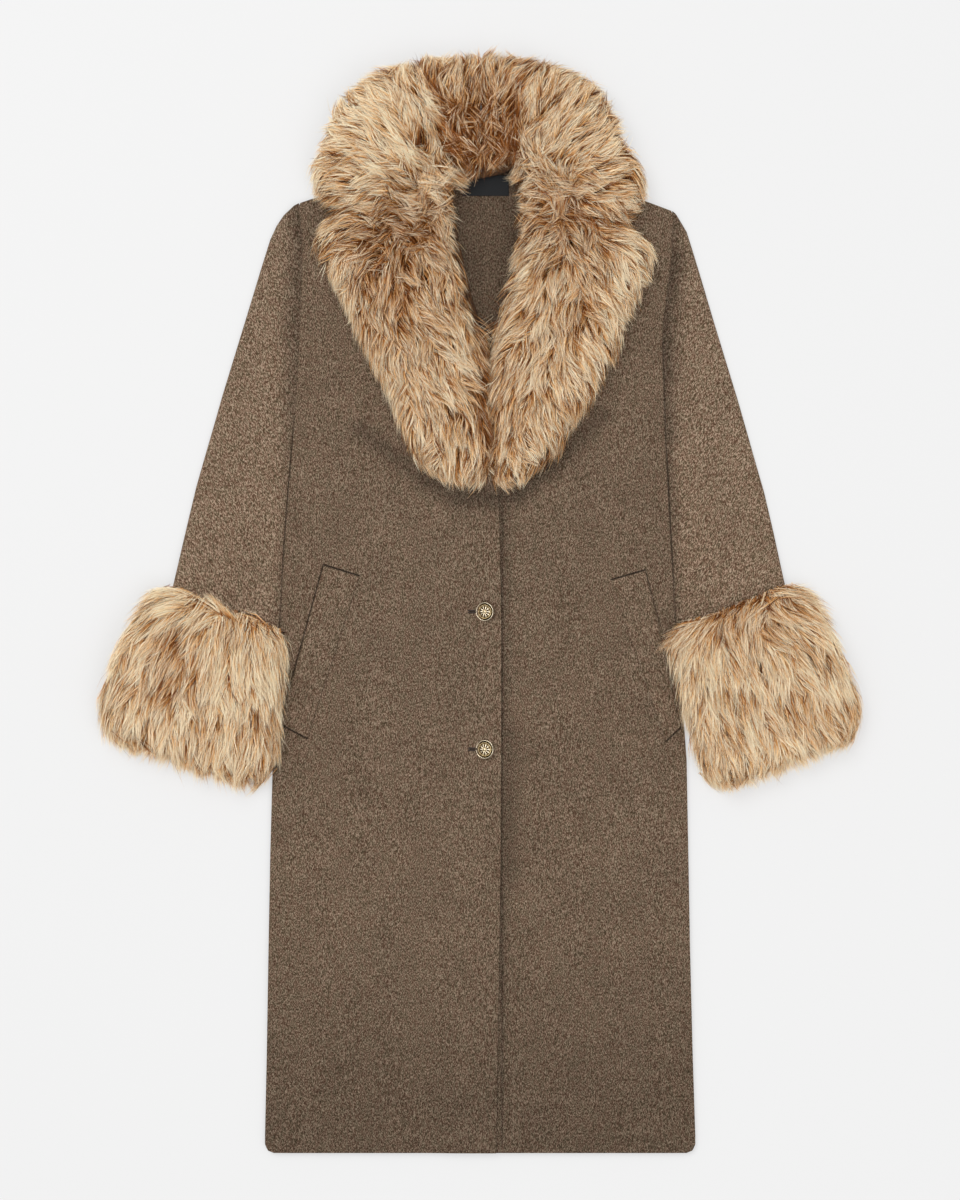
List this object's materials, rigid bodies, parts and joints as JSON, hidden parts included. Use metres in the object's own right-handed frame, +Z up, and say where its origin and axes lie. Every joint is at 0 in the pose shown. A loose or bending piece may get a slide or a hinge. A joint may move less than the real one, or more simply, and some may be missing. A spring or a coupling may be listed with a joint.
{
  "type": "long coat",
  "caption": "Long flat-laid wool coat with a shawl collar and deep cuffs in long-pile faux fur, slanted welt pockets and metal shank buttons.",
  "frame": {"origin": "on the surface that the coat lies on, at the middle of the box of the coat", "axes": "+X across the coat to the viewer's right, +Y from the hem to the collar, +Z up from the surface towards the viewer"},
  "size_m": [0.8721, 1.262, 0.0583],
  "materials": {
    "wool": "brushed double wool cloth, dark taupe melange",
    "fur": "long-pile faux fur, caramel with brown roots and pale tips",
    "metal": "pale gold metal, polished rim",
    "label": "black woven label, bare"
  },
  "bodies": {
    "root": {"back_left": "wool", "back_right": "wool", "front_left": "wool", "front_right": "wool", "upper_sleeve_left": "wool", "upper_sleeve_right": "wool", "under_sleeve_left": "wool", "under_sleeve_right": "wool", "welt_left": "wool", "welt_right": "wool", "collar_left": "fur", "collar_right": "fur", "cuff_left": "fur", "cuff_right": "fur", "button_top": "metal", "button_bottom": "metal", "neck_label": "label"}
  },
  "joints": []
}
